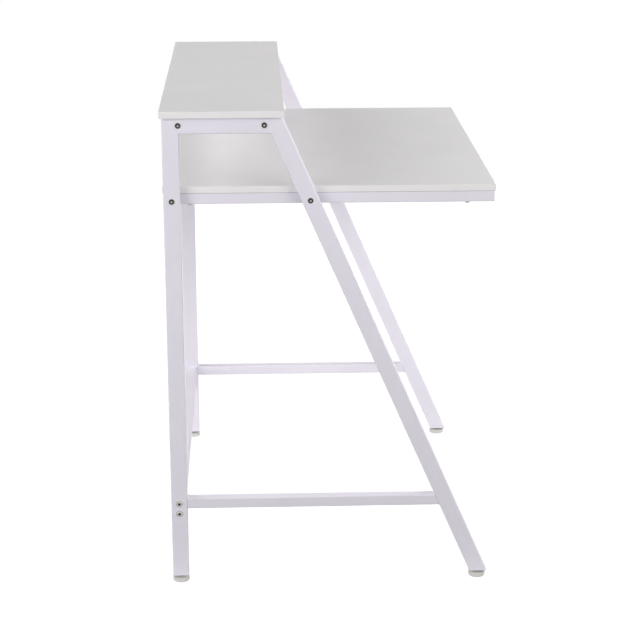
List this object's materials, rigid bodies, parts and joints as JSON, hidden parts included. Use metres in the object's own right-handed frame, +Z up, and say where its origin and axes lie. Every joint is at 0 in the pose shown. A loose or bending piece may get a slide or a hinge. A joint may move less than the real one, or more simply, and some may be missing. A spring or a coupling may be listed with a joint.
{
  "type": "ladder desk",
  "caption": "Ladder desk: a worktop and a raised rear shelf held between tubular side frames with slanted front legs, a rear crossbar and screw-in levelling feet.",
  "frame": {"origin": "on the floor, under the middle of the desk's box", "axes": "+Z up, +Y towards the back where the shelf and rear legs are, +X to the right seen from the front"},
  "size_m": [0.797, 0.598, 0.9],
  "materials": {
    "powder_coat": "satin white powder coat",
    "melamine_board": "white melamine on particle board",
    "edge_band": "white edge band",
    "plated_steel": "bright zinc plated",
    "black_steel": "black coated steel",
    "raw_steel": "plain steel",
    "foot_plastic": "moulded white plastic",
    "plug_plastic": "moulded white plastic"
  },
  "bodies": {
    "desk": {"crossbar_bolts": "plated_steel", "crossbar_end_plates": "raw_steel", "left_front_leg": "powder_coat", "left_front_leg_plug": "plug_plastic", "left_rear_leg": "powder_coat", "left_rear_leg_plug": "plug_plastic", "left_side_stretcher": "powder_coat", "left_top_rail": "powder_coat", "rear_crossbar": "powder_coat", "right_front_leg": "powder_coat", "right_front_leg_plug": "plug_plastic", "right_rear_leg": "powder_coat", "right_rear_leg_plug": "plug_plastic", "right_side_stretcher": "powder_coat", "right_top_rail": "powder_coat", "shelf_board": "melamine_board", "shelf_bolts": "black_steel", "shelf_edge_band": "edge_band", "shelf_front_rail": "powder_coat", "shelf_rail_end_plates": "raw_steel", "shelf_rear_rail": "powder_coat", "shelf_screws": "plated_steel", "worktop_board": "melamine_board", "worktop_bolts": "black_steel", "worktop_edge_band": "edge_band", "worktop_front_rail": "powder_coat", "worktop_left_rail": "powder_coat", "worktop_rear_rail": "powder_coat", "worktop_right_rail": "powder_coat", "worktop_rivet_nuts": "raw_steel", "worktop_screws": "plated_steel"},
    "left_rear_foot": {"left_rear_glide": "foot_plastic", "left_rear_stud": "plated_steel"},
    "left_front_foot": {"left_front_glide": "foot_plastic", "left_front_stud": "plated_steel"},
    "right_rear_foot": {"right_rear_glide": "foot_plastic", "right_rear_stud": "plated_steel"},
    "right_front_foot": {"right_front_glide": "foot_plastic", "right_front_stud": "plated_steel"}
  },
  "joints": [
    {"name": "left_rear_foot_screw", "type": "slide", "parent": "desk", "child": "left_rear_foot", "axis": [0, 0, -1], "range_m": [-0.002, 0.008]},
    {"name": "left_front_foot_screw", "type": "slide", "parent": "desk", "child": "left_front_foot", "axis": [0, 0, -1], "range_m": [-0.002, 0.008]},
    {"name": "right_rear_foot_screw", "type": "slide", "parent": "desk", "child": "right_rear_foot", "axis": [0, 0, -1], "range_m": [-0.002, 0.008]},
    {"name": "right_front_foot_screw", "type": "slide", "parent": "desk", "child": "right_front_foot", "axis": [0, 0, -1], "range_m": [-0.002, 0.008]}
  ]
}
